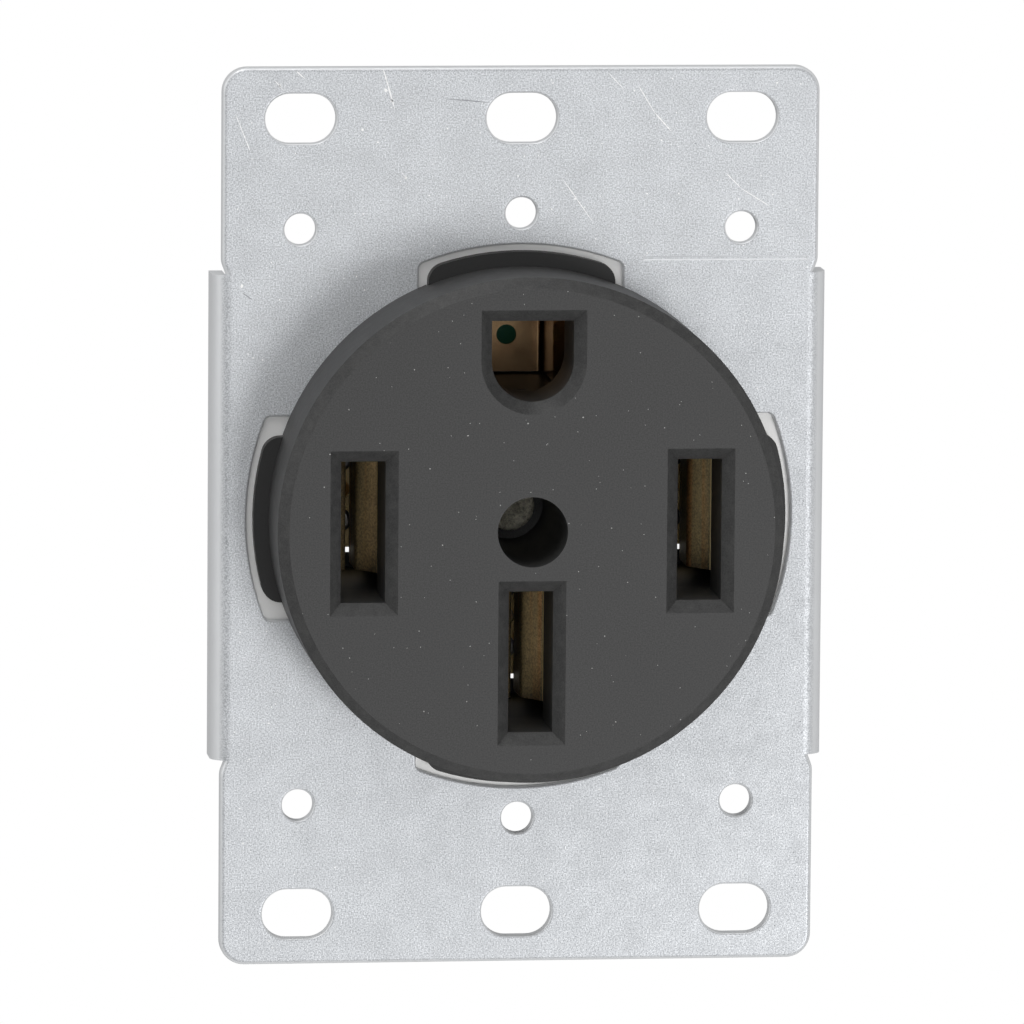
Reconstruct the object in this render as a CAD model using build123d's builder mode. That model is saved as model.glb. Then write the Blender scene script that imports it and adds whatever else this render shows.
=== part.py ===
from build123d import *
import os

# Four prong receptacle for a wall box, drawn as it hangs on the wall.
# The origin is the middle of the mounting strap's front face. X runs to the right, Z runs up,
# and the face looks towards -Y, so a positive Y is a distance behind the strap's front face.
# All sizes are in millimetres.

# Mounting strap
strap_height = 94.0
strap_thickness = 1.4
strap_corner_radius = 2.6
strap_edge_radius = 0.25        # pierced edges rolled over by the press tool, on the front
strap_rim_radius = 0.5          # the same along the outer edges
notch_margin = 3.6              # from the reach of the notches to the outside of the flanges
flange_length = 50.8
flange_depth = 5.0
flange_bend_radius = 0.6        # inside of the fold
tab_setback = 0.95              # edges of the two tabs, inside the span of the flanges
relief_length = 1.3             # slant that leads from a tab's edge into the end of a fold
relief_depth = 0.5
relief_radius = 2.0
box_screw_spacing_x = 46.04
box_screw_inset = 5.33          # from the ends of the strap to the slots for the box screws
box_slot_length = 7.4
box_slot_width = 5.2
plate_screw_spacing_x = 46.04
plate_screw_spacing_z = 60.33
middle_screw_margin = 3.25      # from the reach of the notches to the two middle screws
plate_screw_hole = 3.3
gauge_line_start = 12.8         # engraved line that shows how much wire to strip
gauge_line_length = 17.2
gauge_line_height = 26.96
gauge_line_width = 0.42
gauge_line_depth = 0.16

# Centre opening of the strap, and the keys of the housings that fill its notches
opening_radius = 25.0
notch_depth = 3.5
notch_width = 21.3
notch_corner_radius = 0.8
key_end_gap = 0.65
key_side_gap_upright = 0.9      # top and bottom keys
key_side_gap_level = 2.0        # left and right keys
key_corner_radius = 2.0
key_rise = 1.0                  # in front of the strap
key_thickness = 1.6
boss_gap = 0.2                  # between the round boss and the strap

# Face housing
face_overlap = 1.3              # of the face over the round opening in the strap
face_height = 12.0              # in front of the strap
face_chamfer = 1.1
face_fit_gap = 0.15
mouth_room = 1.8                # recess behind each slot for the mouth of its contact
slot_width = 4.6
slot_height = 14.7
slot_lead_in = 1.22
hot_offset = 17.45
neutral_offset = 13.66
ground_offset = 17.6
ground_slot_width = 8.5
ground_slot_height = 8.4
centre_hole = 7.3

# Blade contacts: one folded strip each, open towards the face
leaf_thickness = 0.8
leaf_edge_round = 0.3
contact_sink = 0.5              # front edges below the joint between the two housings
contact_height = 13.1
contact_drop = 5.7              # from the slot's middle down to the strip's lower edge
contact_floor_trim = 0.9        # cut from the lower edge of the floor, so that it clears the lug
contact_depth = 13.1            # from the front edges to the floor of the fold
contact_mouth = 5.08            # between the front edges
contact_throat = 0.92           # between the leaves where they grip
contact_floor_width = 5.2
flare_depth = 2.9
throat_length = 5.9
floor_run = 1.4
sight_hole = 2.1                # small hole in the floor of every contact
throat_bend_radius = 1.0        # bends are measured to the middle of the strip's thickness
leaf_bend_radius = 1.5
floor_bend_radius = 0.9

# Ground contact
ground_contact_height = 7.8
ground_contact_mouth = 9.4
ground_contact_throat = 7.8
ground_contact_floor_width = 7.5
ground_flare_depth = 4.5
ground_flare_radius = 2.5

# Steel springs behind the blade contacts
spring_thickness = 0.6
spring_height = 10.2
spring_gap = 0.04
spring_tip_turn = 0.9
spring_tip_radius = 0.8

# Wire lugs, their screws and their rivets
lug_width = 9.4
lug_height = 9.4
lug_depth = 9.5
lug_front_wall = 0.7
lug_gap = 0.25                  # to the walls of its pocket
lug_edge_chamfer = 0.4
neck_width = 4.8
neck_height = 9.2
ground_neck_size = 7.8
neck_gap = 0.15
neck_hole = 3.6
wire_bore = 6.2
wire_bore_lead_in = 0.5
screw_diameter = 7.0
screw_length = 5.8
screw_slot_width = 1.3
screw_slot_depth = 1.7
screw_chamfer = 0.5
screw_hole_run_in = 1.55        # how far the screw's hole runs into the wire's bore
thread_gap = 0.05
rivet_diameter = 1.6
rivet_head_diameter = 2.4
rivet_head_height = 0.6
rivet_head_round = 0.4
rivet_hold = 0.4                # length of the shank inside the lug's block
rivet_gap = 0.03
rivet_pitch = 6.4
ground_rivet_offset_x = 1.7
ground_rivet_offset_z = 2.7

# Middle housing, which holds the contacts, and the housings behind it, which hold the lugs
rear_wall = 1.8
housing_step = 0.3              # the housings of the lugs are this much smaller all round
rear_corner_radius = 8.0
rear_edge_chamfer = 1.6
partition_thickness = 2.0
chamber_gap = 0.25
hot_pocket_drop = 10.2          # from the slot's middle to the lower end of its terminal pocket
neutral_pocket_drop = 8.8
terminal_recess = 3.4           # from the lugs back to the rear face
wire_hole = 6.6

# Screws that hold the mouldings together
assembly_screw_x = 12.0
assembly_screw_z = 14.2
assembly_screw_diameter = 3.5
assembly_screw_hold = 7.0       # length inside the face housing
assembly_screw_tip_room = 0.8
assembly_screw_hole_gap = 0.25
assembly_head_diameter = 6.4
assembly_head_height = 2.2
assembly_head_round = 0.85
assembly_tip_chamfer = 0.85
assembly_head_recess = 5.0
cross_slot_width = 1.0
cross_slot_length = 4.0
cross_slot_depth = 1.3

# Rivet in the bottom of the centre hole
centre_rivet_depth = 8.3        # from the strap's front face back to the rivet's head
centre_rivet_diameter = 3.2
centre_rivet_head_diameter = 5.3
centre_rivet_head_height = 1.4
centre_rivet_head_round = 0.55
centre_rivet_tail_height = 1.3
centre_rivet_tail_round = 0.75
centre_rivet_gap = 0.1
centre_cup_wall = 1.25
centre_cup_gap = 0.1
centre_recess = 2.6
washer_diameter = 7.0
washer_thickness = 0.8

# Strip that joins the ground contact to the mounting strap
bonding_thickness = 0.6
bonding_width = 4.0
bonding_rise = 1.7              # from the ground contact's middle up to the strip's middle
bonding_reach = 15.3            # to the run that comes forward
bonding_tab_length = 5.0
bonding_gap = 0.15
bonding_bend_radius = 0.6

# Levels behind the strap's front face
joint_y = -key_rise
contact_front_y = joint_y + contact_sink
throat_start_y = contact_front_y + flare_depth
throat_end_y = throat_start_y + throat_length
floor_y = contact_front_y + contact_depth
floor_run_y = floor_y - floor_run
spring_y = floor_y + leaf_thickness
partition_y = spring_y + max(spring_thickness, bonding_thickness)
lug_y = partition_y + partition_thickness
wire_y = lug_y + lug_front_wall + wire_bore / 2
lug_back_y = lug_y + lug_depth
rear_y = lug_back_y + terminal_recess
screw_tip_y = wire_y + wire_bore / 2
cup_floor_y = centre_rivet_depth + centre_rivet_head_height
head_seat_y = rear_y - assembly_head_recess
washer_y = rear_y - centre_recess

# Heights of the contacts and lugs
contact_middle = (contact_height + contact_floor_trim) / 2 - contact_drop
ground_middle = ground_offset
rear_width = 2 * (hot_offset + lug_width / 2 + lug_gap + rear_wall)
rear_height = 2 * (ground_middle + lug_height / 2 + lug_gap + rear_wall)
notch_reach = opening_radius + notch_depth
flange_span = 2 * (notch_reach + notch_margin)
box_screw_spacing_z = strap_height - 2 * box_screw_inset
middle_screw_spacing_z = 2 * (notch_reach + middle_screw_margin)
face_radius = opening_radius + face_overlap
boss_radius = opening_radius - boss_gap
key_reach = notch_reach - key_end_gap
key_width_upright = notch_width - 2 * key_side_gap_upright
key_width_level = notch_width - 2 * key_side_gap_level
chamber_width = contact_mouth + 2 * leaf_thickness + 2 * spring_thickness + 2 * chamber_gap
ground_chamber_width = ground_contact_mouth + 2 * leaf_thickness + 2 * chamber_gap
cup_radius = centre_hole / 2 + centre_cup_wall
chamber_top = contact_height - contact_drop + chamber_gap
ground_neck_y = spring_y + bonding_thickness
bonding_middle = ground_middle + bonding_rise
bonding_end = bonding_reach + bonding_thickness + bonding_gap

# The blade contacts: name, side, place of the slot's middle, drop of the terminal pocket
blade_sites = [
    ("hot", "_left", -hot_offset, 0.0, hot_pocket_drop),
    ("hot", "_right", hot_offset, 0.0, hot_pocket_drop),
    ("neutral", "", 0.0, -neutral_offset, neutral_pocket_drop),
]
# The wire lugs: name, side, place of the lug's middle, direction in which its wire comes in
lug_sites = [
    ("hot", "_left", -hot_offset, contact_middle, (-1, 0)),
    ("hot", "_right", hot_offset, contact_middle, (1, 0)),
    ("neutral", "", 0.0, contact_middle - neutral_offset, (0, -1)),
    ("ground", "", 0.0, ground_middle, (0, 1)),
]
screw_places = [
    (side * assembly_screw_x, end * assembly_screw_z)
    for end in (1, -1)
    for side in (-1, 1)
]

os.makedirs("parts", exist_ok=True)


def level(y):
    """Plane parallel to the face, at a distance behind the strap's front face, looking forward."""
    return Plane.XZ.offset(-y)


def save(part, name):
    """Label a finished piece and write it under its own name."""
    part.label = name
    export_step(part, f"parts/{name}.step")


def ground_slot(wall):
    """Earth slot in the current sketch, grown by a wall all round: flat on top, half round below."""
    radius = ground_slot_width / 2 + wall
    arc_z = ground_offset - ground_slot_height / 2 + ground_slot_width / 2
    top_z = ground_offset + ground_slot_height / 2 + wall
    with BuildLine(mode=Mode.PRIVATE) as outline:
        Polyline((-radius, arc_z), (-radius, top_z), (radius, top_z), (radius, arc_z))
        ThreePointArc((radius, arc_z), (0, arc_z - radius), (-radius, arc_z))
    make_face(outline.edges())


def chambers(mode=Mode.ADD):
    """Outlines of the chambers of the four contacts in the current sketch."""
    for name, side, x, z, drop in blade_sites:
        with Locations((x, z + (chamber_top - slot_height / 2) / 2)):
            Rectangle(chamber_width, chamber_top + slot_height / 2, mode=mode)
    with Locations((0, ground_middle)):
        Rectangle(ground_chamber_width, ground_contact_height + 2 * chamber_gap, mode=mode)


def screw_holes():
    """Clearance holes of the assembly screws, cut from the current sketch."""
    with Locations(*screw_places):
        Circle(assembly_screw_diameter / 2 + assembly_screw_hole_gap, mode=Mode.SUBTRACT)


def strip(thickness, points, radii):
    """Profile of a bent strip in the current sketch, along the middle of its thickness."""
    with BuildLine(mode=Mode.PRIVATE) as middle:
        FilletPolyline(*points, radius=radii)
    trace(middle.line, line_width=thickness)


def channel(thickness, half_line, radii):
    """Profile of a strip folded to a channel, from one half of the middle of its thickness."""
    other_half = [(-x, y) for x, y in half_line]
    strip(thickness, [*other_half, *reversed(half_line)], [*radii, *reversed(radii)])


def rivet_places(name, x, z):
    """Places of the two rivets of a contact whose middle is at x, z."""
    if name == "ground":
        return [
            (x - ground_rivet_offset_x, z + ground_rivet_offset_z),
            (x + ground_rivet_offset_x, z + ground_rivet_offset_z),
        ]
    return [(x, z - rivet_pitch / 2), (x, z + rivet_pitch / 2)]


def key_outline(gap):
    """The four keys in the current sketch, grown by a gap all round."""
    span = 2 * key_reach + 2 * gap
    Rectangle(key_width_upright + 2 * gap, span)
    Rectangle(span, key_width_level + 2 * gap)
    Circle(key_reach + gap, mode=Mode.INTERSECT)
    corners = vertices().filter_by(lambda v: (v.X**2 + v.Y**2) ** 0.5 > opening_radius)
    fillet(corners, radius=key_corner_radius)


# Mounting strap: one blank, pierced, with its two sides folded back
bend_outside = flange_bend_radius + strap_thickness
bend_line = flange_span / 2 - bend_outside
tab_edge = flange_span / 2 - tab_setback
relief_end = flange_length / 2 + relief_length
with BuildPart() as mounting_strap:
    with BuildSketch(Plane.XZ):
        RectangleRounded(2 * tab_edge, strap_height, strap_corner_radius)
        for side in (-1, 1):
            Polygon(
                (side * tab_edge, relief_end),
                (side * (tab_edge - relief_depth), flange_length / 2),
                (side * bend_line, flange_length / 2),
                (side * bend_line, -flange_length / 2),
                (side * (tab_edge - relief_depth), -flange_length / 2),
                (side * tab_edge, -relief_end),
                align=None,
                mode=Mode.SUBTRACT,
            )
        shoulders = vertices().filter_by(lambda v: abs(abs(v.Y) - relief_end) < 0.01)
        fillet(shoulders, radius=relief_radius)
    extrude(amount=-strap_thickness)
    with BuildSketch(Plane.XZ):
        Circle(opening_radius)
        with GridLocations(box_screw_spacing_x / 2, box_screw_spacing_z, 3, 2):
            SlotOverall(box_slot_length, box_slot_width)
        with GridLocations(plate_screw_spacing_x, plate_screw_spacing_z, 2, 2):
            Circle(plate_screw_hole / 2)
        with GridLocations(0, middle_screw_spacing_z, 1, 2):
            Circle(plate_screw_hole / 2)
    extrude(amount=-strap_thickness, mode=Mode.SUBTRACT)
    with BuildSketch(Plane.XZ):
        Rectangle(notch_width, 2 * notch_reach)
        Rectangle(2 * notch_reach, notch_width)
        Circle(notch_reach, mode=Mode.INTERSECT)
        tips = vertices().filter_by(lambda v: (v.X**2 + v.Y**2) ** 0.5 > opening_radius)
        fillet(tips, radius=notch_corner_radius)
    extrude(amount=-strap_thickness, mode=Mode.SUBTRACT)

    # Edges rolled over by the press tool: the outline of each tab, and what is pierced
    front_face = mounting_strap.faces().sort_by(Axis.Y)[0]
    outline = front_face.outer_wire().edges()
    rims = outline.filter_by(
        lambda e: abs(e.center().Z) > flange_length / 2 + 0.01 and abs(e.center().X) < tab_edge + 0.01
    )
    pierced = [e for wire in front_face.inner_wires() for e in wire.edges()]
    fillet(pierced, radius=strap_edge_radius)
    fillet(rims, radius=strap_rim_radius)

    # Groove that shows how far to strip a wire
    with BuildSketch(Plane.XZ):
        with Locations((gauge_line_start + gauge_line_length / 2, gauge_line_height)):
            Rectangle(gauge_line_length, gauge_line_width)
    extrude(amount=-gauge_line_depth, taper=45, mode=Mode.SUBTRACT)

    # Flanges
    with BuildSketch(Plane.XY.offset(-flange_length / 2)):
        with BuildLine():
            outer = flange_span / 2
            fold = RadiusArc((bend_line, 0), (outer, bend_outside), -bend_outside)
            side = Line(fold @ 1, (outer, flange_depth))
            end = Line(side @ 1, (outer - strap_thickness, flange_depth))
            back = Line(end @ 1, (outer - strap_thickness, bend_outside))
            inner_fold = RadiusArc(back @ 1, (bend_line, strap_thickness), flange_bend_radius)
            Line(inner_fold @ 1, fold @ 0)
        make_face()
        mirror(about=Plane.YZ)
    extrude(amount=flange_length)
save(mounting_strap.part, "mounting_strap")

# Room that the face housing leaves for the keys
with BuildSketch(level(joint_y)) as key_room:
    key_outline(face_fit_gap)

# Face housing: thick round moulding with the slots and a deep cup in the middle
with BuildPart() as face_housing:
    with BuildSketch(level(joint_y)):
        Circle(face_radius)
    extrude(amount=face_height - key_rise)
    rim = face_housing.faces().sort_by(Axis.Y)[0].edges()
    chamfer(rim, length=face_chamfer)

    # Skirt that rests on the strap between the keys
    with BuildSketch(level(joint_y)):
        Circle(face_radius)
        Circle(boss_radius + face_fit_gap, mode=Mode.SUBTRACT)
    extrude(amount=-key_rise)
    extrude(key_room.sketch, amount=-key_rise, mode=Mode.SUBTRACT)

    # Cup that reaches back to the partition and holds the centre rivet
    with BuildSketch(level(joint_y)):
        Circle(cup_radius)
    extrude(amount=-(partition_y - joint_y))

    # Slots with a tapered lead-in all round
    with BuildSketch(level(-face_height)):
        for name, side, x, z, drop in blade_sites:
            with Locations((x, z)):
                Rectangle(slot_width, slot_height)
        ground_slot(0)
    extrude(amount=-(face_height - key_rise), mode=Mode.SUBTRACT)
    with BuildSketch(level(-face_height)):
        for name, side, x, z, drop in blade_sites:
            with Locations((x, z)):
                Rectangle(slot_width + 2 * slot_lead_in, slot_height + 2 * slot_lead_in)
        ground_slot(slot_lead_in)
    extrude(amount=-slot_lead_in, taper=45, mode=Mode.SUBTRACT)

    # Room behind the slots for the mouths of the contacts
    with BuildSketch(level(joint_y)):
        chambers()
    extrude(amount=mouth_room, mode=Mode.SUBTRACT)

    # Bore of the cup, its rivet hole, and the pilot holes of the assembly screws
    with BuildSketch(level(-face_height)):
        Circle(centre_hole / 2)
    extrude(amount=-(face_height + cup_floor_y), mode=Mode.SUBTRACT)
    with BuildSketch(level(cup_floor_y)):
        Circle(centre_rivet_diameter / 2 + centre_rivet_gap)
    extrude(amount=-(partition_y - cup_floor_y), mode=Mode.SUBTRACT)
    with BuildSketch(level(joint_y)):
        with Locations(*screw_places):
            Circle(assembly_screw_diameter / 2 + thread_gap)
    extrude(amount=assembly_screw_hold + assembly_screw_tip_room, mode=Mode.SUBTRACT)
save(face_housing.part, "face_housing")

# Key plate: round plate whose four thin keys lie in the notches of the strap
with BuildPart() as key_plate:
    with BuildSketch(level(joint_y)):
        key_outline(0)
        Circle(boss_radius, mode=Mode.SUBTRACT)
    extrude(amount=-key_thickness)
    with BuildSketch(level(joint_y)):
        Circle(boss_radius)
        chambers(Mode.SUBTRACT)
        Circle(cup_radius + centre_cup_gap, mode=Mode.SUBTRACT)
        screw_holes()
    extrude(amount=-(strap_thickness - joint_y))
save(key_plate.part, "key_plate")

# Middle housing: moulded block with a chamber for each contact
with BuildPart() as middle_housing:
    with BuildSketch(level(strap_thickness)):
        RectangleRounded(rear_width, rear_height, rear_corner_radius)
        chambers(Mode.SUBTRACT)
        with Locations((bonding_end / 2, bonding_middle)):
            Rectangle(bonding_end, bonding_width + 2 * bonding_gap, mode=Mode.SUBTRACT)
        Circle(cup_radius + centre_cup_gap, mode=Mode.SUBTRACT)
        screw_holes()
    extrude(amount=-(partition_y - strap_thickness))

    # Seat for the bonding strip's tab, between the strap and the housing
    with BuildSketch(level(strap_thickness)):
        with Locations((bonding_reach + bonding_tab_length / 2, bonding_middle)):
            Rectangle(bonding_tab_length + 2 * bonding_gap, bonding_width + 2 * bonding_gap)
    extrude(amount=-bonding_thickness, mode=Mode.SUBTRACT)
save(middle_housing.part, "middle_housing")

# Partition: plate between the contacts and the lugs, with a window for the neck of each lug
with BuildPart() as partition:
    with BuildSketch(level(partition_y)):
        RectangleRounded(rear_width, rear_height, rear_corner_radius)
        for name, side, x, z, drop in blade_sites:
            window_top = contact_middle + neck_height / 2 + neck_gap
            with Locations((x, z + (window_top - slot_height / 2) / 2)):
                Rectangle(neck_width + 2 * neck_gap, window_top + slot_height / 2, mode=Mode.SUBTRACT)
        with Locations((0, ground_middle)):
            Rectangle(
                ground_neck_size + 2 * neck_gap, ground_neck_size + 2 * neck_gap, mode=Mode.SUBTRACT
            )
        Circle(centre_rivet_diameter / 2 + centre_rivet_gap, mode=Mode.SUBTRACT)
        screw_holes()
    extrude(amount=-partition_thickness)
save(partition.part, "partition")

# Housings of the lugs: two blocks that part along the middles of the wire holes, and a cover
pocket_top = contact_middle + lug_height / 2 + lug_gap
for housing, front_y, back_y, screw_hole in (
    ("wire_housing", lug_y, wire_y, assembly_screw_diameter),
    ("rear_housing", wire_y, head_seat_y, assembly_screw_diameter),
    ("rear_cover", head_seat_y, rear_y, assembly_head_diameter),
):
    with BuildPart() as block:
        with BuildSketch(level(front_y)):
            RectangleRounded(rear_width - 2 * housing_step, rear_height - 2 * housing_step, rear_corner_radius)
        extrude(amount=front_y - back_y)
        if housing == "rear_cover":
            chamfer(block.faces().sort_by(Axis.Y)[-1].edges(), length=rear_edge_chamfer)
        with BuildSketch(level(front_y)):
            for name, side, x, z, drop in blade_sites:
                with Locations((x, z + (pocket_top - drop) / 2)):
                    Rectangle(lug_width + 2 * lug_gap, pocket_top + drop)
            with Locations((0, ground_middle)):
                Rectangle(lug_width + 2 * lug_gap, lug_height + 2 * lug_gap)
            Circle(centre_rivet_diameter / 2 + centre_rivet_gap)
            with Locations(*screw_places):
                Circle(screw_hole / 2 + assembly_screw_hole_gap)
        extrude(amount=front_y - back_y, mode=Mode.SUBTRACT)

        if housing == "rear_cover":
            # Recess for the washer of the centre rivet
            with BuildSketch(level(rear_y)):
                Circle(washer_diameter / 2 + lug_gap)
            extrude(amount=rear_y - washer_y, mode=Mode.SUBTRACT)
        else:
            # Wire holes from the four sides, each as deep as the middle of its lug
            for name, side, x, z, (wire_x, wire_z) in lug_sites:
                half_size = (rear_width if wire_x else rear_height) / 2 - housing_step
                mouth = (half_size * wire_x + x * abs(wire_z), wire_y, half_size * wire_z + z * abs(wire_x))
                with BuildSketch(Plane(origin=mouth, z_dir=(wire_x, 0, wire_z))):
                    Circle(wire_hole / 2)
                extrude(amount=-(half_size - abs(wire_x * x + wire_z * z)), mode=Mode.SUBTRACT)
    save(block.part, housing)

# Blade contacts: brass strip folded to a channel, its leaves brought together at the throat
for name, side, x, z, drop in blade_sites:
    with BuildPart() as contact:
        with BuildSketch(Plane((x, 0, z - contact_drop))):
            channel(
                leaf_thickness,
                [
                    (contact_mouth / 2 + leaf_thickness / 2, contact_front_y),
                    (contact_throat / 2 + leaf_thickness / 2, throat_start_y),
                    (contact_throat / 2 + leaf_thickness / 2, throat_end_y),
                    (contact_floor_width / 2 + leaf_thickness / 2, floor_run_y),
                    (contact_floor_width / 2 + leaf_thickness / 2, floor_y + leaf_thickness / 2),
                ],
                [throat_bend_radius, leaf_bend_radius, leaf_bend_radius, floor_bend_radius],
            )
        extrude(amount=contact_height)
        front_edges = contact.edges().filter_by(Axis.Z).group_by(Axis.Y)[0]
        fillet(front_edges, radius=leaf_edge_round)
        with BuildSketch(level(floor_y)):
            with Locations((x, z + contact_middle)):
                Circle(sight_hole / 2)
            with Locations(*rivet_places(name, x, z + contact_middle)):
                Circle(rivet_diameter / 2 + rivet_gap)
        extrude(amount=-leaf_thickness, mode=Mode.SUBTRACT)
        with BuildSketch(level(spring_y)):
            with Locations((x, z - contact_drop + contact_floor_trim / 2)):
                Rectangle(chamber_width, contact_floor_trim)
        extrude(amount=spring_y - floor_run_y, mode=Mode.SUBTRACT)
    save(contact.part, f"{name}_contact{side}")

# Springs: steel channel outside each blade contact, pressing its leaves together at the throat
press_y = (throat_start_y + throat_end_y) / 2
press_x = contact_throat / 2 + leaf_thickness + spring_gap + spring_thickness / 2
spring_side_x = contact_floor_width / 2 + leaf_thickness + spring_gap + spring_thickness / 2
for name, side, x, z, drop in blade_sites:
    with BuildPart() as spring:
        with BuildSketch(Plane((x, 0, z + contact_middle - spring_height / 2))):
            channel(
                spring_thickness,
                [
                    (press_x + spring_tip_turn, throat_start_y + spring_tip_turn / 2),
                    (press_x, press_y),
                    (spring_side_x, floor_run_y),
                    (spring_side_x, spring_y + spring_thickness / 2),
                ],
                [spring_tip_radius, leaf_bend_radius, floor_bend_radius],
            )
        extrude(amount=spring_height)
        with BuildSketch(level(spring_y)):
            with Locations((x, z + contact_middle)):
                Circle(neck_hole / 2)
            with Locations(*rivet_places(name, x, z + contact_middle)):
                Circle(rivet_diameter / 2 + rivet_gap)
        extrude(amount=-spring_thickness, mode=Mode.SUBTRACT)
    save(spring.part, f"{name}_spring{side}")

# Ground contact: wider channel that grips the round prong on both sides
with BuildPart() as ground_contact:
    with BuildSketch(Plane((0, 0, ground_middle - ground_contact_height / 2))):
        channel(
            leaf_thickness,
            [
                (ground_contact_mouth / 2 + leaf_thickness / 2, contact_front_y),
                (ground_contact_throat / 2 + leaf_thickness / 2, contact_front_y + ground_flare_depth),
                (ground_contact_floor_width / 2 + leaf_thickness / 2, floor_y + leaf_thickness / 2),
            ],
            [ground_flare_radius, floor_bend_radius],
        )
    extrude(amount=ground_contact_height)
    front_edges = ground_contact.edges().filter_by(Axis.Z).group_by(Axis.Y)[0]
    fillet(front_edges, radius=leaf_edge_round)
    with BuildSketch(level(floor_y)):
        with Locations((0, ground_middle)):
            Circle(sight_hole / 2)
        with Locations(*rivet_places("ground", 0, ground_middle)):
            Circle(rivet_diameter / 2 + rivet_gap)
    extrude(amount=-leaf_thickness, mode=Mode.SUBTRACT)
save(ground_contact.part, "ground_contact")

# Bonding strip: from behind the ground contact, forward to the back of the mounting strap
bonding_floor_y = spring_y + bonding_thickness / 2
with BuildPart() as bonding_strap:
    with BuildSketch(Plane((0, 0, bonding_middle - bonding_width / 2))):
        strip(
            bonding_thickness,
            [
                (0, bonding_floor_y),
                (bonding_reach + bonding_thickness / 2, bonding_floor_y),
                (bonding_reach + bonding_thickness / 2, strap_thickness + bonding_thickness / 2),
                (bonding_reach + bonding_tab_length, strap_thickness + bonding_thickness / 2),
            ],
            [bonding_bend_radius, bonding_bend_radius],
        )
    extrude(amount=bonding_width)
    with BuildSketch(level(spring_y)):
        with Locations((0, ground_middle)):
            Rectangle(ground_neck_size, ground_neck_size)
    extrude(amount=-bonding_thickness)
    with BuildSketch(level(spring_y)):
        with Locations((0, ground_middle)):
            Circle(neck_hole / 2)
        with Locations(*rivet_places("ground", 0, ground_middle)):
            Circle(rivet_diameter / 2 + rivet_gap)
    extrude(amount=-bonding_thickness, mode=Mode.SUBTRACT)
save(bonding_strap.part, "bonding_strap")

# Wire lugs: brass block with a cross bore for the wire and a neck that meets the contact
for name, side, x, z, (wire_x, wire_z) in lug_sites:
    neck_y = ground_neck_y if name == "ground" else partition_y
    neck_size = (ground_neck_size, ground_neck_size) if name == "ground" else (neck_width, neck_height)
    with BuildPart() as lug:
        with BuildSketch(level(lug_y)):
            with Locations((x, z)):
                Rectangle(lug_width, lug_height)
        extrude(amount=-lug_depth)
        chamfer(lug.edges().filter_by(Axis.Y), length=lug_edge_chamfer)
        with BuildSketch(level(lug_y)):
            with Locations((x, z)):
                Rectangle(*neck_size)
        extrude(amount=lug_y - neck_y)
        with BuildSketch(level(neck_y)):
            with Locations((x, z)):
                Circle(neck_hole / 2)
        extrude(amount=-(wire_y - neck_y), mode=Mode.SUBTRACT)
        with BuildSketch(Plane((x, wire_y, z), z_dir=(wire_x, 0, wire_z))):
            Circle(wire_bore / 2)
        extrude(amount=lug_width, both=True, mode=Mode.SUBTRACT)
        bore_axis = Axis.X if wire_x else Axis.Z
        ends = lug.edges().filter_by(GeomType.CIRCLE).group_by(bore_axis)
        chamfer([*ends[0], *ends[-1]], length=wire_bore_lead_in)
        with BuildSketch(level(lug_back_y)):
            with Locations((x, z)):
                Circle(screw_diameter / 2 + thread_gap)
        extrude(amount=lug_back_y - screw_tip_y + screw_hole_run_in, mode=Mode.SUBTRACT)
        with BuildSketch(level(neck_y)):
            with Locations(*rivet_places(name, x, z)):
                Circle(rivet_diameter / 2 + rivet_gap)
        extrude(amount=-(lug_y + rivet_hold - neck_y), mode=Mode.SUBTRACT)
    save(lug.part, f"{name}_lug{side}")

# Clamping screws: slotted, without a head, backed out as far as the wire's bore
for name, side, x, z, wire_way in lug_sites:
    with BuildPart() as screw:
        with BuildSketch(level(screw_tip_y)):
            with Locations((x, z)):
                Circle(screw_diameter / 2)
        extrude(amount=-screw_length)
        chamfer(screw.edges().filter_by(GeomType.CIRCLE), length=screw_chamfer)
        with BuildSketch(level(screw_tip_y + screw_length)):
            with Locations((x, z)):
                Rectangle(screw_diameter, screw_slot_width)
        extrude(amount=screw_slot_depth, mode=Mode.SUBTRACT)
    save(screw.part, f"{name}_screw{side}")

# Rivets that hold each contact to its lug, two to a contact
for name, side, x, z, wire_way in lug_sites:
    with BuildPart() as rivets:
        with BuildSketch(level(floor_y)):
            with Locations(*rivet_places(name, x, z)):
                Circle(rivet_head_diameter / 2)
        extrude(amount=rivet_head_height)
        domes = rivets.edges().filter_by(GeomType.CIRCLE).group_by(Axis.Y)[0]
        fillet(domes, radius=rivet_head_round)
        with BuildSketch(level(floor_y)):
            with Locations(*rivet_places(name, x, z)):
                Circle(rivet_diameter / 2)
        extrude(amount=-(lug_y + rivet_hold - floor_y))
    save(rivets.part, f"{name}_rivets{side}")

# Centre rivet: holds the bottom of the face housing's cup to the rear cover
with BuildPart() as centre_rivet:
    with BuildSketch(level(cup_floor_y)):
        Circle(centre_rivet_head_diameter / 2)
    extrude(amount=centre_rivet_head_height)
    head_edge = centre_rivet.edges().filter_by(GeomType.CIRCLE).group_by(Axis.Y)[0]
    fillet(head_edge, radius=centre_rivet_head_round)
    with BuildSketch(level(cup_floor_y)):
        Circle(centre_rivet_diameter / 2)
    extrude(amount=-(washer_y + washer_thickness - cup_floor_y))
    with BuildSketch(level(washer_y + washer_thickness)):
        Circle(centre_rivet_head_diameter / 2)
    extrude(amount=-centre_rivet_tail_height)
    tail_edge = centre_rivet.edges().filter_by(GeomType.CIRCLE).group_by(Axis.Y)[-1]
    fillet(tail_edge, radius=centre_rivet_tail_round)
save(centre_rivet.part, "centre_rivet")

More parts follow.
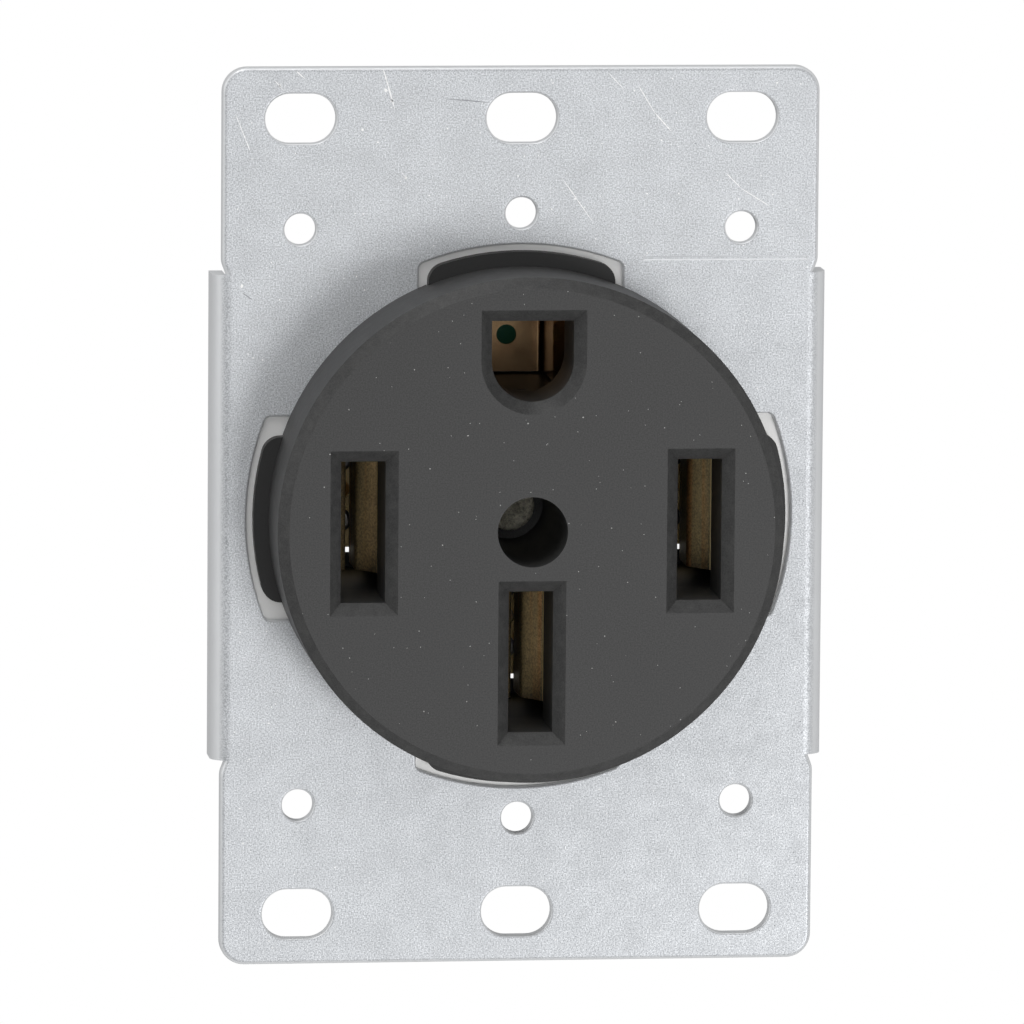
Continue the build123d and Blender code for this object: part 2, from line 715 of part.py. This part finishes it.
with BuildPart() as centre_washer:
    with BuildSketch(level(washer_y)):
        Circle(washer_diameter / 2)
        Circle(centre_rivet_diameter / 2 + centre_rivet_gap, mode=Mode.SUBTRACT)
    extrude(amount=-washer_thickness)
save(centre_washer.part, "centre_washer")

# Assembly screws: from the back through the rear and middle housings into the face housing
for number, (x, z) in enumerate(screw_places, start=1):
    with BuildPart() as assembly_screw:
        with BuildSketch(level(head_seat_y)):
            with Locations((x, z)):
                Circle(assembly_head_diameter / 2)
        extrude(amount=-assembly_head_height)
        head_rim = assembly_screw.edges().filter_by(GeomType.CIRCLE).group_by(Axis.Y)[-1]
        fillet(head_rim, radius=assembly_head_round)
        with BuildSketch(level(head_seat_y)):
            with Locations((x, z)):
                Circle(assembly_screw_diameter / 2)
        extrude(amount=head_seat_y - joint_y + assembly_screw_hold)
        tip = assembly_screw.edges().filter_by(GeomType.CIRCLE).group_by(Axis.Y)[0]
        chamfer(tip, length=assembly_tip_chamfer)
        with BuildSketch(level(head_seat_y + assembly_head_height)):
            with Locations((x, z)):
                Rectangle(cross_slot_length, cross_slot_width)
                Rectangle(cross_slot_width, cross_slot_length)
        extrude(amount=cross_slot_depth, mode=Mode.SUBTRACT)
    save(assembly_screw.part, f"assembly_screw_{number}")
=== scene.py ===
import math
import random

import bpy
from mathutils import Matrix, Vector


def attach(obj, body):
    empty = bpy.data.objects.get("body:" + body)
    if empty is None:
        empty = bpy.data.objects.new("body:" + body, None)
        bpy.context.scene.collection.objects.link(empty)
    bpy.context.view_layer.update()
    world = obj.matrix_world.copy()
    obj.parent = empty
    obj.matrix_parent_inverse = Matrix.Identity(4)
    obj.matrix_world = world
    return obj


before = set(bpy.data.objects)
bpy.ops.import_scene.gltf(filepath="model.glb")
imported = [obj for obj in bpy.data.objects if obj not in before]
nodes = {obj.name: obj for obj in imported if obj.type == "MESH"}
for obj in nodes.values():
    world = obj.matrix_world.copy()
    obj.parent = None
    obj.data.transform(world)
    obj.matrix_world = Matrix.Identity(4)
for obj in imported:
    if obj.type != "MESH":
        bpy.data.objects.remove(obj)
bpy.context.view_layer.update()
bpy.context.scene.view_settings.view_transform = "Standard"


# Mounting strap: pressed from galvanised steel sheet, pierced, and folded back along both sides.
# Its zinc is a dull bluish grey with a fine mottle. Where it turns from the front, on its folds,
# flanges and edges, it is painted lighter: a painted highlight.
def new_material(name):
    """An empty material, with its tree and the output of that tree."""
    material = bpy.data.materials.new(name)
    material.use_nodes = True
    tree = material.node_tree
    tree.nodes.clear()
    output = tree.nodes.new("ShaderNodeOutputMaterial")
    return material, tree, output


def feed(tree, socket, value):
    """Link another node's result to a socket, or set the socket to a number or a colour."""
    if isinstance(value, bpy.types.NodeSocket):
        tree.links.new(value, socket)
    else:
        socket.default_value = (*value, 1) if isinstance(value, tuple) else value


def shader(tree, output, colour, metallic, roughness, specular=0.5):
    """The surface shader of a finish, joined to the material's output."""
    surface = tree.nodes.new("ShaderNodeBsdfPrincipled")
    feed(tree, surface.inputs["Base Color"], colour)
    feed(tree, surface.inputs["Metallic"], metallic)
    feed(tree, surface.inputs["Roughness"], roughness)
    feed(tree, surface.inputs["Specular IOR Level"], specular)
    tree.links.new(surface.outputs["BSDF"], output.inputs["Surface"])
    return surface


def noise(tree, scale, detail=3.0, roughness=0.6, stretch=(1, 1, 1)):
    """A grain in the piece's own coordinates, its scale in grains to the metre."""
    place = tree.nodes.new("ShaderNodeTexCoord")
    mapping = tree.nodes.new("ShaderNodeMapping")
    mapping.inputs["Scale"].default_value = stretch
    grain = tree.nodes.new("ShaderNodeTexNoise")
    grain.inputs["Scale"].default_value = scale
    grain.inputs["Detail"].default_value = detail
    grain.inputs["Roughness"].default_value = roughness
    tree.links.new(place.outputs["Object"], mapping.inputs["Vector"])
    tree.links.new(mapping.outputs["Vector"], grain.inputs["Vector"])
    return grain.outputs["Fac"]


def spread(tree, value, low, high, start=0.3, end=0.7):
    """A grain's value stretched from start and end to low and high, as a number or a colour."""
    if isinstance(low, tuple):
        ramp = tree.nodes.new("ShaderNodeValToRGB")
        ramp.color_ramp.elements[0].position = start
        ramp.color_ramp.elements[0].color = (*low, 1)
        ramp.color_ramp.elements[1].position = end
        ramp.color_ramp.elements[1].color = (*high, 1)
        tree.links.new(value, ramp.inputs["Fac"])
        return ramp.outputs["Color"]
    stretch = tree.nodes.new("ShaderNodeMapRange")
    stretch.inputs["From Min"].default_value = start
    stretch.inputs["From Max"].default_value = end
    stretch.inputs["To Min"].default_value = low
    stretch.inputs["To Max"].default_value = high
    tree.links.new(value, stretch.inputs["Value"])
    return stretch.outputs["Result"]


def maths(tree, operation, first, second=0.5):
    """The result of an operation on numbers or on other nodes' results."""
    step = tree.nodes.new("ShaderNodeMath")
    step.operation = operation
    feed(tree, step.inputs[0], first)
    feed(tree, step.inputs[1], second)
    return step.outputs[0]


def mix_colour(tree, factor, first, second, blend="MIX"):
    """Two colours mixed by a factor, each of the three a fixed value or another node's result."""
    mix = tree.nodes.new("ShaderNodeMix")
    mix.data_type = "RGBA"
    mix.blend_type = blend
    factor_socket, first_socket, second_socket = mix.inputs[0], mix.inputs[6], mix.inputs[7]
    feed(tree, factor_socket, factor)
    feed(tree, first_socket, first)
    feed(tree, second_socket, second)
    return mix.outputs[2]


def turned_away(tree, front=0.97, aside=0.8):
    """How far the surface turns from the front, by its normal's Y: 0 at front, 1 at aside."""
    facing = tree.nodes.new("ShaderNodeNewGeometry")
    split = tree.nodes.new("ShaderNodeSeparateXYZ")
    tree.links.new(facing.outputs["Normal"], split.inputs[0])
    size = maths(tree, "ABSOLUTE", split.outputs["Y"])
    return spread(tree, size, low=1.0, high=0.0, start=aside, end=front)


def bump(tree, surface, height, distance, strength):
    """Fine relief on a finish, with its depth in metres."""
    relief = tree.nodes.new("ShaderNodeBump")
    relief.inputs["Strength"].default_value = strength
    relief.inputs["Distance"].default_value = distance
    tree.links.new(height, relief.inputs["Height"])
    tree.links.new(relief.outputs["Normal"], surface.inputs["Normal"])


def finish_with(node, material):
    """Give a CAD node its finish."""
    piece = nodes[node]
    piece.data.materials.clear()
    piece.data.materials.append(material)


galvanised, tree, output = new_material("galvanised_steel")
fine_grain = noise(tree, 6500, detail=1.0)
fine_mottle = spread(tree, fine_grain, (0.38, 0.395, 0.415), (0.75, 0.77, 0.795))
wide_grain = noise(tree, 260, detail=4.0)
cloud = spread(tree, wide_grain, (0.95, 0.95, 0.95), (1.04, 1.04, 1.04), start=0.35, end=0.65)
mottled = mix_colour(tree, 1.0, fine_mottle, cloud, "MULTIPLY")
# Faces turned from the front, the folds, flanges and rounded edges, get a painted highlight.
painted_sheen = mix_colour(tree, turned_away(tree), mottled, (0.83, 0.845, 0.86))
dullness = spread(tree, noise(tree, 700, detail=4.0), 0.36, 0.48)
zinc = shader(tree, output, painted_sheen, metallic=0.45, roughness=dullness)
bump(tree, zinc, noise(tree, 3600), distance=0.00003, strength=0.6)
finish_with("mounting_strap", galvanised)


# Marks on the strap: scratches down to bright metal, small bright specks, and a few dark scuffs.
# They lie on the front of the strap, the larger ones most of them on its upper tab.
mark_lift = 0.012  # how far a mark lies in front of its surface, in millimetres
front_depth = 0.02  # how far behind the front a face still takes specks, in millimetres


def plain_material(name, colour, metallic, roughness, specular=0.5):
    """A material of one colour."""
    material, tree, output = new_material(name)
    shader(tree, output, colour, metallic, roughness, specular)
    return material


def new_piece(name, points, faces, material):
    """A piece of the scene alone, from points in millimetres, that stays with the part."""
    mesh = bpy.data.meshes.new(name)
    mesh.from_pydata([(x / 1000, y / 1000, z / 1000) for x, y, z in points], [], faces)
    mesh.materials.append(material)
    piece = bpy.data.objects.new(name, mesh)
    bpy.context.scene.collection.objects.link(piece)
    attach(piece, "root")


def flecks(points, faces, chance, y, spots):
    """Small ragged flecks just in front of a flat surface, each with its x, z and radius."""
    for x, z, radius in spots:
        start = len(points)
        corners = chance.randint(5, 7)
        for number in range(corners):
            angle = math.tau * (number + chance.uniform(-0.3, 0.3)) / corners
            reach = radius * chance.uniform(0.6, 1.2)
            points.append((x + reach * math.cos(angle), y - mark_lift, z + reach * math.sin(angle)))
        faces.append(tuple(range(start, start + corners)))


def scratch(points, faces, chance, y, width, path):
    """A fine scratch along a path of x and z points, ragged in width and finer at both ends."""
    step_length = 0.25
    for (x0, z0), (x1, z1) in zip(path, path[1:]):
        length = math.hypot(x1 - x0, z1 - z0)
        across = (-(z1 - z0) / length, (x1 - x0) / length)
        steps = max(3, int(length / step_length))
        start = len(points)
        for number in range(steps + 1):
            along = number / steps
            ragged = chance.uniform(0.35, 1.0)
            taper = min(1.0, 6 * min(along, 1 - along) + 0.25)
            half = 0.5 * width * ragged * taper
            x, z = x0 + (x1 - x0) * along, z0 + (z1 - z0) * along
            points.append((x + half * across[0], y - mark_lift, z + half * across[1]))
            points.append((x - half * across[0], y - mark_lift, z - half * across[1]))
        for number in range(steps):
            first = start + 2 * number
            faces.append((first, first + 1, first + 3, first + 2))


def speck_tree():
    """A tree that scatters six-sided specks over the flat front of a mesh, and its inputs.

    Front is the Y behind which no speck lies and Lift moves the specks along Y. Lengths are in
    metres, and the density is in specks to the square metre.
    """
    tree = bpy.data.node_groups.new("specks", "GeometryNodeTree")
    join = tree.links.new
    inputs = {}
    for label, kind in (
        ("Geometry", "Geometry"),
        ("Front", "Float"),
        ("Density", "Float"),
        ("Smallest", "Float"),
        ("Largest", "Float"),
        ("Lift", "Float"),
        ("Seed", "Int"),
        ("Finish", "Material"),
    ):
        kind = f"NodeSocket{kind}"
        socket = tree.interface.new_socket(label, in_out="INPUT", socket_type=kind)
        inputs[label] = socket.identifier
    tree.interface.new_socket("Geometry", in_out="OUTPUT", socket_type="NodeSocketGeometry")
    given = tree.nodes.new("NodeGroupInput").outputs

    # The faces that look to the front and lie at the front
    normal = tree.nodes.new("ShaderNodeSeparateXYZ")
    join(tree.nodes.new("GeometryNodeInputNormal").outputs[0], normal.inputs[0])
    place = tree.nodes.new("ShaderNodeSeparateXYZ")
    join(tree.nodes.new("GeometryNodeInputPosition").outputs[0], place.inputs[0])
    looks_front = maths(tree, "LESS_THAN", normal.outputs["Y"], -0.99)
    lies_front = maths(tree, "LESS_THAN", place.outputs["Y"], given["Front"])
    points = tree.nodes.new("GeometryNodeDistributePointsOnFaces")
    points.distribute_method = "RANDOM"
    join(given["Geometry"], points.inputs["Mesh"])
    join(maths(tree, "MULTIPLY", looks_front, lies_front), points.inputs["Selection"])
    join(given["Density"], points.inputs["Density"])
    join(given["Seed"], points.inputs["Seed"])

    # A speck at each point, upright, with a size and a turn of its own
    speck = tree.nodes.new("GeometryNodeMeshCircle")
    speck.fill_type = "NGON"
    speck.inputs["Vertices"].default_value = 6
    speck.inputs["Radius"].default_value = 1.0
    size = tree.nodes.new("FunctionNodeRandomValue")
    size.data_type = "FLOAT_VECTOR"
    join(given["Smallest"], size.inputs[0])
    join(given["Largest"], size.inputs[1])
    join(given["Seed"], size.inputs["Seed"])
    spin = tree.nodes.new("FunctionNodeRandomValue")
    spin.data_type = "FLOAT"
    spin.inputs[3].default_value = math.tau
    join(given["Seed"], spin.inputs["Seed"])
    turn = tree.nodes.new("ShaderNodeCombineXYZ")
    turn.inputs["X"].default_value = math.pi / 2
    join(spin.outputs[1], turn.inputs["Y"])
    copies = tree.nodes.new("GeometryNodeInstanceOnPoints")
    join(points.outputs["Points"], copies.inputs["Points"])
    join(speck.outputs[0], copies.inputs["Instance"])
    join(turn.outputs[0], copies.inputs["Rotation"])
    join(size.outputs[0], copies.inputs["Scale"])

    # Lifted off the surface, made real and given their finish
    lift = tree.nodes.new("ShaderNodeCombineXYZ")
    join(given["Lift"], lift.inputs["Y"])
    raised = tree.nodes.new("GeometryNodeTranslateInstances")
    raised.inputs["Local Space"].default_value = False
    join(copies.outputs[0], raised.inputs["Instances"])
    join(lift.outputs[0], raised.inputs["Translation"])
    real = tree.nodes.new("GeometryNodeRealizeInstances")
    join(raised.outputs[0], real.inputs[0])
    finished = tree.nodes.new("GeometryNodeSetMaterial")
    join(real.outputs[0], finished.inputs["Geometry"])
    join(given["Finish"], finished.inputs["Material"])
    join(finished.outputs[0], tree.nodes.new("NodeGroupOutput").inputs["Geometry"])
    return tree, inputs


def scattered(name, node, y, **settings):
    """Specks as a piece of their own, scattered over a CAD node's front at y millimetres."""
    piece = bpy.data.objects.new(name, nodes[node].data.copy())
    bpy.context.scene.collection.objects.link(piece)
    scatter = piece.modifiers.new("scatter", "NODES")
    scatter.node_group = specks
    settings["Front"] = (y + front_depth) / 1000
    settings["Lift"] = -mark_lift / 1000
    for label, value in settings.items():
        scatter[speck_inputs[label]] = value
    piece.update_tag()
    graph = bpy.context.evaluated_depsgraph_get()
    mesh = bpy.data.meshes.new_from_object(piece.evaluated_get(graph))
    piece.modifiers.clear()
    piece.data = mesh
    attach(piece, "root")


bright_scratch = plain_material("bright_scratch", (0.93, 0.93, 0.93), metallic=0.2, roughness=0.4)
dark_scuff = plain_material("dark_scuff", (0.30, 0.31, 0.33), metallic=0.4, roughness=0.5)
specks, speck_inputs = speck_tree()
strap_front = 0
chance = random.Random(7)
points, faces = [], []
for width, path in (
    (0.16, [(12.1, 45.0), (13.8, 42.2), (15.6, 40.2)]),
    (0.12, [(21.4, 35.8), (23.0, 34.2), (25.9, 32.4)]),
    (0.2, [(-14.5, 46.8), (-13.3, 42.7)]),
    (0.14, [(-25.7, 45.6), (-24.9, 44.7)]),
    (0.14, [(-23.5, 46.6), (-22.6, 45.8)]),
    (0.12, [(-29.8, 42.2), (-28.3, 38.4)]),
    (0.1, [(9.0, 46.3), (10.6, 44.6)]),
    (0.1, [(4.2, 35.4), (7.6, 30.6)]),
    (0.1, [(-12.6, 36.2), (-11.9, 35.2)]),
):
    scratch(points, faces, chance, strap_front, width, path)
worn_spots = (
    (-16.6, 40.5, 0.16),
    (-15.0, 39.2, 0.14),
    (-12.1, 35.5, 0.15),
    (26.6, 45.2, 0.14),
    (-29.1, 24.3, 0.2),
    (-14.2, 44.6, 0.2),
    (-13.6, 43.5, 0.16),
    (5.6, 33.2, 0.12),
    (-25.2, 45.1, 0.14),
)
flecks(points, faces, chance, strap_front, worn_spots)
new_piece("strap_bright_marks", points, faces, bright_scratch)
scattered(
    "strap_bright_specks", "mounting_strap", strap_front,
    Density=110000.0, Smallest=0.00002, Largest=0.0001, Seed=3, Finish=bright_scratch,
)
points, faces = [], []
for path in ([(-7.9, 43.7), (-3.6, 43.3)], [(-29.0, 23.6), (-28.0, 22.9)]):
    scratch(points, faces, chance, strap_front, 0.14, path)
new_piece("strap_dark_marks", points, faces, dark_scuff)
scattered(
    "strap_dark_specks", "mounting_strap", strap_front,
    Density=60000.0, Smallest=0.00002, Largest=0.00008, Seed=5, Finish=dark_scuff,
)


# Face housing: a dark grey moulding in a tough plastic, matt, with a faint sparkle of filler in it.
# It is the only part in reach once the cover plate is on. Its walls and chamfers, which turn from
# the front, are painted lighter in patches: a painted sheen.
face_plastic, tree, output = new_material("face_moulding")
fine_grain = noise(tree, 6500, detail=2.0)
mottle = spread(tree, fine_grain, (0.019, 0.019, 0.019), (0.045, 0.045, 0.045))
patches = spread(tree, noise(tree, 900, detail=5.0, roughness=0.65), 0.0, 0.2, start=0.4, end=0.7)
# Patches on the walls and chamfers, turned from the front, are lightened: painted sheen.
painted_sheen = maths(tree, "MULTIPLY", patches, turned_away(tree))
painted_sheen_colour = mix_colour(tree, painted_sheen, mottle, (0.12, 0.12, 0.115))
moulded = shader(tree, output, painted_sheen_colour, metallic=0.0, roughness=0.5)
bump(tree, moulded, noise(tree, 2600), distance=0.00002, strength=0.6)
finish_with("face_housing", face_plastic)


# Dust on the face: a few pale flecks where the photograph has them, and a fine scatter of
# smaller ones all over.
dust = plain_material("pale_dust", (0.45, 0.45, 0.44), metallic=0.0, roughness=0.8)
face_front = -12
dust_spots = ((5.1, 11.9, 0.1), (-0.6, 11.3, 0.09), (-6.8, 10.1, 0.1), (-10.7, 6.7, 0.09))
chance = random.Random(11)
points, faces = [], []
flecks(points, faces, chance, face_front, dust_spots)
new_piece("face_flecks", points, faces, dust)
scattered(
    "face_dust", "face_housing", face_front,
    Density=90000.0, Smallest=0.00002, Largest=0.00007, Seed=8, Finish=dust,
)


# Black mouldings behind the strap: the key plate, whose four keys show beside the face, and the
# five mouldings behind it. They hold every contact in a chamber of its own and take the wires
# from four sides.
rear_plastic, tree, output = new_material("rear_moulding")
black = (0.018, 0.018, 0.018)
moulded = shader(tree, output, black, metallic=0.0, roughness=0.5, specular=0.45)
bump(tree, moulded, noise(tree, 2200), distance=0.00002, strength=0.5)
for node in (
    "key_plate",
    "middle_housing",
    "partition",
    "wire_housing",
    "rear_housing",
    "rear_cover",
):
    finish_with(node, rear_plastic)


# Pale sheet behind the four keys of the black moulding: it shows in the gaps round them.
# Each quarter is an arc on the outside and straight on the inside, where the key plate hides it.
sheet_y = 0.66
sheet_radius = 28.47
sheet_inner_edge = 22.7
sheet_half_width = 10.62
arc_steps = 16
pale = (0.96, 0.96, 0.95)
pale_sheet = plain_material("pale_sheet", pale, metallic=0.0, roughness=0.4, specular=0.8)
half_angle = math.asin(sheet_half_width / sheet_radius)
outline = []
for number in range(arc_steps + 1):
    angle = half_angle * (2 * number / arc_steps - 1)
    outline.append((sheet_radius * math.sin(angle), sheet_radius * math.cos(angle)))
outline += [(sheet_half_width, sheet_inner_edge), (-sheet_half_width, sheet_inner_edge)]
points, faces = [], []
for quarter in range(4):
    start = len(points)
    cos, sin = math.cos(quarter * math.pi / 2), math.sin(quarter * math.pi / 2)
    points += [(x * cos + z * sin, sheet_y, z * cos - x * sin) for x, z in outline]
    faces.append(tuple(range(start, len(points))))
new_piece("gap_sheet", points, faces, pale_sheet)


# Webs of the black partition, that close most of the foot of each window behind the blade
# contacts. Each is a thin plate, given as its left, right, lower and upper edge.
web_front, web_back = 16.02, 16.26
webs = ((-20.6, -14.3, -9.0, -5.85), (14.3, 20.6, -9.0, -5.85), (-3.2, 3.2, -22.0, -19.5))
box_faces = ((0, 1, 2, 3), (7, 6, 5, 4), (0, 4, 5, 1), (1, 5, 6, 2), (2, 6, 7, 3), (3, 7, 4, 0))
points, faces = [], []
for left, right, bottom, top in webs:
    start = len(points)
    for y in (web_front, web_back):
        points += [(left, y, bottom), (right, y, bottom), (right, y, top), (left, y, top)]
    faces += [tuple(start + corner for corner in face) for face in box_faces]
new_piece("window_webs", points, faces, rear_plastic)


# Blade contacts: rolled brass strip, folded, dulled to olive with brown bands of tarnish.
# The faces that look to the front, its cut edges, are painted bright gold: a painted highlight.
blade_brass, tree, output = new_material("blade_brass")
streaks = noise(tree, 260, detail=4.0, stretch=(1, 1, 0.25))
olive = spread(tree, streaks, (0.44, 0.39, 0.29), (0.62, 0.56, 0.43), start=0.35, end=0.65)
long_streaks = noise(tree, 700, detail=1.0, roughness=0.5, stretch=(1, 1, 0.02))
bands = spread(tree, long_streaks, 0.0, 0.6, start=0.52, end=0.64)
banded = mix_colour(tree, bands, olive, (0.60, 0.36, 0.19))
fine_grain = noise(tree, 4200, detail=2.0)
stipple = spread(tree, fine_grain, (0.75, 0.75, 0.75), (1.3, 1.28, 1.2), start=0.35, end=0.65)
stippled = mix_colour(tree, 1.0, banded, stipple, "MULTIPLY")
# Faces that look to the front take a painted highlight of bright gold; those turned away stay
# olive.
turned_from_front = turned_away(tree, front=0.9, aside=0.7)
painted_edge_highlight = mix_colour(tree, turned_from_front, (1.0, 0.82, 0.45), stippled)
dullness = spread(tree, noise(tree, 500), 0.4, 0.52)
shader(tree, output, painted_edge_highlight, metallic=1.0, roughness=dullness)
for node in ("hot_contact_left", "hot_contact_right", "neutral_contact"):
    finish_with(node, blade_brass)


# Earth contact and bonding strip: brass strip like that of the blade contacts, but darker and
# smoother, with a warm brown tarnish.
earth_brass, tree, output = new_material("earth_brass")
stains = noise(tree, 300, detail=4.0)
brown = spread(tree, stains, (0.22, 0.13, 0.068), (0.33, 0.22, 0.12), start=0.35, end=0.65)
shader(tree, output, brown, metallic=1.0, roughness=0.2)
for node in ("ground_contact", "bonding_strap"):
    finish_with(node, earth_brass)


# Springs: thin steel strip, folded round each blade contact so that its leaves keep their grip.
# They sit deep in the chambers, left plain.
spring_steel = plain_material("spring_steel", (0.52, 0.52, 0.53), metallic=1.0, roughness=0.35)
for node in ("hot_spring_left", "hot_spring_right", "neutral_spring"):
    finish_with(node, spring_steel)


# Wire lugs: blocks of brass bar, bored across for the wire and tapped from the back for the
# screw. The bar's drawn skin is a little streaky.
lug_brass, tree, output = new_material("lug_brass")
streaks = spread(tree, noise(tree, 900, stretch=(1, 0.2, 1)), 0.24, 0.4)
shader(tree, output, (0.80, 0.62, 0.32), metallic=1.0, roughness=streaks)
for node in ("hot_lug_left", "hot_lug_right", "neutral_lug", "ground_lug"):
    finish_with(node, lug_brass)


# Screws: the clamping screws are brass for the two lines, plain plated steel for the neutral and
# dark green for the earth. The four long screws that hold the stack are plated too.
brass_turned = plain_material("brass_screw", (0.80, 0.62, 0.32), metallic=1.0, roughness=0.28)
plated = plain_material("plated_screw", (0.70, 0.71, 0.72), metallic=1.0, roughness=0.3)
green = plain_material("green_screw", (0.008, 0.075, 0.045), metallic=0.3, roughness=0.35)
finish_with("hot_screw_left", brass_turned)
finish_with("hot_screw_right", brass_turned)
finish_with("neutral_screw", plated)
finish_with("ground_screw", green)
for number in range(1, 5):
    finish_with(f"assembly_screw_{number}", plated)


# Rivets of the contacts and the washer at the back: zinc plated steel, the rivets set with a
# press.
plated_rivet = plain_material("plated_rivet", (0.60, 0.60, 0.58), metallic=1.0, roughness=0.38)
for node in ("hot_rivets_left", "hot_rivets_right", "neutral_rivets", "ground_rivets"):
    finish_with(node, plated_rivet)
finish_with("centre_washer", plated_rivet)


# Centre rivet: yellow plated steel at the bottom of the deep centre hole, its head struck rough.
# Its colour is blotched from dull to bright; the bright blotches are painted glints.
struck, tree, output = new_material("centre_rivet_metal")
blotches = noise(tree, 1500, detail=6.0, roughness=0.75)
# The bright blotches in this yellow are painted glints.
painted_glint_yellow = spread(tree, blotches, (0.40, 0.37, 0.28), (1.0, 0.96, 0.8), start=0.38, end=0.6)
head = shader(tree, output, painted_glint_yellow, metallic=0.3, roughness=0.5)
dents = noise(tree, 1300, detail=5.0, roughness=0.7)
bump(tree, head, dents, distance=0.0003, strength=0.9)
finish_with("centre_rivet", struck)


# Floor and studio: the part hangs a metre above a plain floor in a pale room. To the camera alone,
# the room and the far parts of the floor are pure white. Of four soft lamps, the strongest is in
# front at the lower right, one is overhead, one at the left, and a weak one in front.
def blend(tree, output, factor, first, second):
    """Two shaders blended by a factor and joined to the output."""
    both = tree.nodes.new("ShaderNodeMixShader")
    tree.links.new(factor, both.inputs[0])
    tree.links.new(first.outputs[0], both.inputs[1])
    tree.links.new(second.outputs[0], both.inputs[2])
    tree.links.new(both.outputs[0], output.inputs["Surface"])


def background(tree, strength):
    """A white background."""
    wall = tree.nodes.new("ShaderNodeBackground")
    wall.inputs["Color"].default_value = (1, 1, 1, 1)
    wall.inputs["Strength"].default_value = strength
    return wall


def lamp(name, place, size, power):
    """A square soft lamp that faces the part."""
    light = bpy.data.lights.new(name, "AREA")
    light.size = size
    light.energy = power
    holder = bpy.data.objects.new(name, light)
    holder.location = place
    holder.rotation_euler = (-Vector(place)).to_track_quat("-Z", "Y").to_euler()
    bpy.context.scene.collection.objects.link(holder)


left, right, front, back, height = -9, 9, -6, 14, -1
corners = [(left, front), (right, front), (right, back), (left, back)]
floor_mesh = bpy.data.meshes.new("floor")
floor_mesh.from_pydata([(x, y, height) for x, y in corners], [], [(0, 1, 2, 3)])
floor = bpy.data.objects.new("floor", floor_mesh)
bpy.context.scene.collection.objects.link(floor)
floor_white, tree, output = new_material("floor_white")
matt = tree.nodes.new("ShaderNodeBsdfDiffuse")
matt.inputs["Color"].default_value = (0.86, 0.86, 0.86, 1)
glow = tree.nodes.new("ShaderNodeEmission")
glow.inputs["Strength"].default_value = 1.0
ray = tree.nodes.new("ShaderNodeLightPath")
place = tree.nodes.new("ShaderNodeTexCoord")
distance = tree.nodes.new("ShaderNodeVectorMath")
distance.operation = "LENGTH"
tree.links.new(place.outputs["Object"], distance.inputs[0])
away = spread(tree, distance.outputs["Value"], 0.0, 1.0, start=0.7, end=1.3)
glows = maths(tree, "MULTIPLY", ray.outputs["Is Camera Ray"], away)
blend(tree, output, glows, matt, glow)
floor_mesh.materials.append(floor_white)

world = bpy.data.worlds.new("studio")
world.use_nodes = True
bpy.context.scene.world = world
tree = world.node_tree
tree.nodes.clear()
output = tree.nodes.new("ShaderNodeOutputWorld")
ray = tree.nodes.new("ShaderNodeLightPath")
room = background(tree, strength=0.47)
white = background(tree, strength=1.0)
blend(tree, output, ray.outputs["Is Camera Ray"], room, white)

lamp("front_lamp", (0.53, -1.2, -0.44), size=0.5, power=6.1)
lamp("top_lamp", (-0.25, -0.45, 1.1), size=0.8, power=4.2)
lamp("left_lamp", (-1.1, -0.35, 0.35), size=0.7, power=1.5)
lamp("near_lamp", (-0.155, -1.3, 0.18), size=0.4, power=1.0)


# Camera: a long lens, a little to the left of the part and a little above it, and turned by less
# than half a degree about its own line of sight.
camera_data = bpy.data.cameras.new("camera")
camera = bpy.data.objects.new("camera", camera_data)
bpy.context.scene.collection.objects.link(camera)
bpy.context.scene.camera = camera
camera_data.sensor_width = 36
camera_data.lens = 371.59
camera_data.clip_start = 0.05
camera_data.clip_end = 100
camera_distance = 1.1
target = Vector((-0.000758, 0, 0.000488))
azimuth, elevation, roll = math.radians(-6.8), math.radians(7.8), math.radians(0.433)
back = Vector(
    (
        math.sin(azimuth) * math.cos(elevation),
        -math.cos(azimuth) * math.cos(elevation),
        math.sin(elevation),
    )
)
level_right = Vector((0, 0, 1)).cross(back).normalized()
level_up = back.cross(level_right)
right = level_right * math.cos(roll) + level_up * math.sin(roll)
up = level_up * math.cos(roll) - level_right * math.sin(roll)
turn = Matrix((right, up, back)).transposed().to_4x4()
camera.matrix_world = Matrix.Translation(target + camera_distance * back) @ turn
